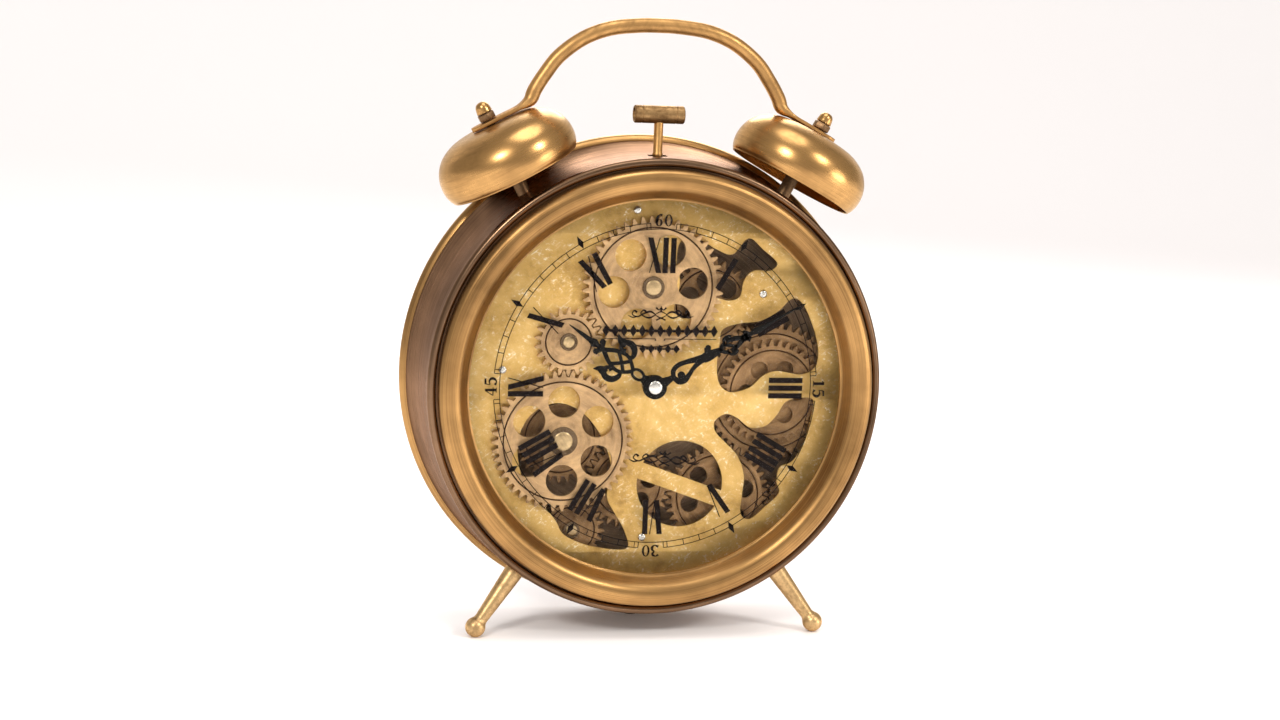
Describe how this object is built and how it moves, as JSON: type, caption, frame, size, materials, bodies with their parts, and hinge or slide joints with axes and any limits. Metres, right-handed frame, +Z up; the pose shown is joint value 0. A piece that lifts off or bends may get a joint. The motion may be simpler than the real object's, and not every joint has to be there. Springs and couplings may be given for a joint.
{
  "type": "alarm clock",
  "caption": "Free-standing round twin-bell alarm clock in antique brass with a carrying handle, splayed feet and an open dial over turning gears.",
  "frame": {"origin": "on the floor under the middle of the clock", "axes": "+Z up, -Y out of the dial towards the viewer, +X to the viewer's right"},
  "size_m": [0.2146, 0.0632, 0.2683],
  "materials": {
    "antique_brass": "brushed and darkened",
    "dark_bronze": "satin",
    "gold_leaf": "leafed",
    "gear_brass": "satin",
    "black_enamel": "satin",
    "bright_steel": "polished",
    "black_plastic": "matte",
    "cell_jacket": "gloss",
    "clear_glass": "polished",
    "clear_acrylic": "polished"
  },
  "bodies": {
    "case": {"back_cover": "dark_bronze", "back_rim": "antique_brass", "battery": "cell_jacket", "bottom_left_stud": "gear_brass", "bottom_stud": "gear_brass", "carry_handle": "antique_brass", "case_drum": "dark_bronze", "dial_plate": "gold_leaf", "front_bezel": "antique_brass", "front_glass": "clear_glass", "front_spacer_ring": "dark_bronze", "hammer_bracket": "dark_bronze", "idler_stud": "gear_brass", "left_bell": "antique_brass", "left_bell_post": "dark_bronze", "left_dome_nut": "antique_brass", "left_leg": "antique_brass", "left_lock_nut": "dark_bronze", "lower_left_dial_screw": "bright_steel", "lower_left_pillar": "gear_brass", "lower_right_dial_screw": "bright_steel", "lower_right_pillar": "gear_brass", "lower_right_stud": "gear_brass", "motor_case": "black_plastic", "movement_case": "black_plastic", "numeral_disc": "clear_acrylic", "rear_foot": "black_plastic", "rear_plate": "dark_bronze", "rear_spacer_ring": "dark_bronze", "right_bell": "antique_brass", "right_bell_post": "dark_bronze", "right_dome_nut": "antique_brass", "right_leg": "antique_brass", "right_lock_nut": "dark_bronze", "top_right_stud": "gear_brass", "top_stud": "gear_brass", "upper_left_dial_screw": "bright_steel", "upper_left_pillar": "gear_brass", "upper_right_dial_screw": "bright_steel", "upper_right_pillar": "gear_brass"},
    "hammer": {"hammer_rod": "antique_brass", "hammer_head": "antique_brass"},
    "minute_hand": {"minute_hand": "black_enamel", "hand_nut": "bright_steel"},
    "hour_hand": {"hour_hand": "black_enamel"},
    "time_set_knob": {"time_set_knob": "black_plastic"},
    "right_wheel": {"right_wheel": "gear_brass", "right_gear": "gear_brass", "right_arbor": "gear_brass"},
    "lower_right_gear": {"lower_right_gear": "gear_brass"},
    "motor_pinion": {"motor_pinion": "gear_brass"},
    "top_right_gear": {"top_right_gear": "gear_brass"},
    "bottom_gear": {"bottom_gear": "gear_brass"},
    "bottom_left_gear": {"bottom_left_gear": "gear_brass"},
    "large_gear": {"large_gear": "gear_brass", "large_rear_gear": "gear_brass", "large_arbor": "gear_brass"},
    "idler_gear": {"idler_gear": "gear_brass"},
    "top_gear": {"top_gear": "gear_brass"},
    "motor_switch": {"motor_switch": "bright_steel"}
  },
  "joints": [
    {"name": "hammer_rock", "type": "hinge", "parent": "case", "child": "hammer", "pos_m": [0, -0.0042, 0.205], "axis": [0, 1, 0], "range_deg": [-12, 12]},
    {"name": "minute_turn", "type": "hinge", "parent": "case", "child": "minute_hand", "pos_m": [0, -0.0194, 0.11], "axis": [0, 1, 0], "continuous": true},
    {"name": "hour_turn", "type": "hinge", "parent": "case", "child": "hour_hand", "pos_m": [0, -0.0178, 0.11], "axis": [0, 1, 0], "continuous": true},
    {"name": "knob_turn", "type": "hinge", "parent": "case", "child": "time_set_knob", "pos_m": [0, 0.0219, 0.118], "axis": [0, 1, 0], "continuous": true},
    {"name": "right_wheel_spin", "type": "hinge", "parent": "case", "child": "right_wheel", "pos_m": [0.0554, -0.0051, 0.1062], "axis": [0, 1, 0], "continuous": true},
    {"name": "lower_right_spin", "type": "hinge", "parent": "case", "child": "lower_right_gear", "pos_m": [0.03321, -0.0051, 0.05862], "axis": [0, 1, 0], "continuous": true},
    {"name": "motor_spin", "type": "hinge", "parent": "case", "child": "motor_pinion", "pos_m": [0.06321, -0.0051, 0.05862], "axis": [0, 1, 0], "continuous": true},
    {"name": "top_right_spin", "type": "hinge", "parent": "case", "child": "top_right_gear", "pos_m": [0.02606, -0.0051, 0.14513], "axis": [0, 1, 0], "continuous": true},
    {"name": "bottom_spin", "type": "hinge", "parent": "case", "child": "bottom_gear", "pos_m": [-0.00764, -0.0051, 0.06436], "axis": [0, 1, 0], "continuous": true},
    {"name": "bottom_left_spin", "type": "hinge", "parent": "case", "child": "bottom_left_gear", "pos_m": [-0.03253, -0.0051, 0.04347], "axis": [0, 1, 0], "continuous": true},
    {"name": "large_spin", "type": "hinge", "parent": "case", "child": "large_gear", "pos_m": [-0.03891, -0.0131, 0.08506], "axis": [0, 1, 0], "continuous": true},
    {"name": "idler_spin", "type": "hinge", "parent": "case", "child": "idler_gear", "pos_m": [-0.03784, -0.0131, 0.12879], "axis": [0, 1, 0], "continuous": true},
    {"name": "top_spin", "type": "hinge", "parent": "case", "child": "top_gear", "pos_m": [-0.0014, -0.0131, 0.15301], "axis": [0, 1, 0], "continuous": true},
    {"name": "switch_slide", "type": "slide", "parent": "case", "child": "motor_switch", "axis": [1, 0, 0], "range_m": [0, 0.0084]}
  ],
  "couplings": [
    {"joint": "hour_turn", "follows": "minute_turn", "ratio": 0.083333},
    {"joint": "knob_turn", "follows": "minute_turn", "ratio": -1},
    {"joint": "lower_right_spin", "follows": "right_wheel_spin", "ratio": -1.3333},
    {"joint": "motor_spin", "follows": "right_wheel_spin", "ratio": 4},
    {"joint": "top_right_spin", "follows": "right_wheel_spin", "ratio": -1.6},
    {"joint": "bottom_spin", "follows": "right_wheel_spin", "ratio": 1.6},
    {"joint": "bottom_left_spin", "follows": "right_wheel_spin", "ratio": -2.1818},
    {"joint": "large_spin", "follows": "right_wheel_spin", "ratio": -1.6},
    {"joint": "idler_spin", "follows": "right_wheel_spin", "ratio": 3.4909},
    {"joint": "top_spin", "follows": "right_wheel_spin", "ratio": -1.6}
  ]
}
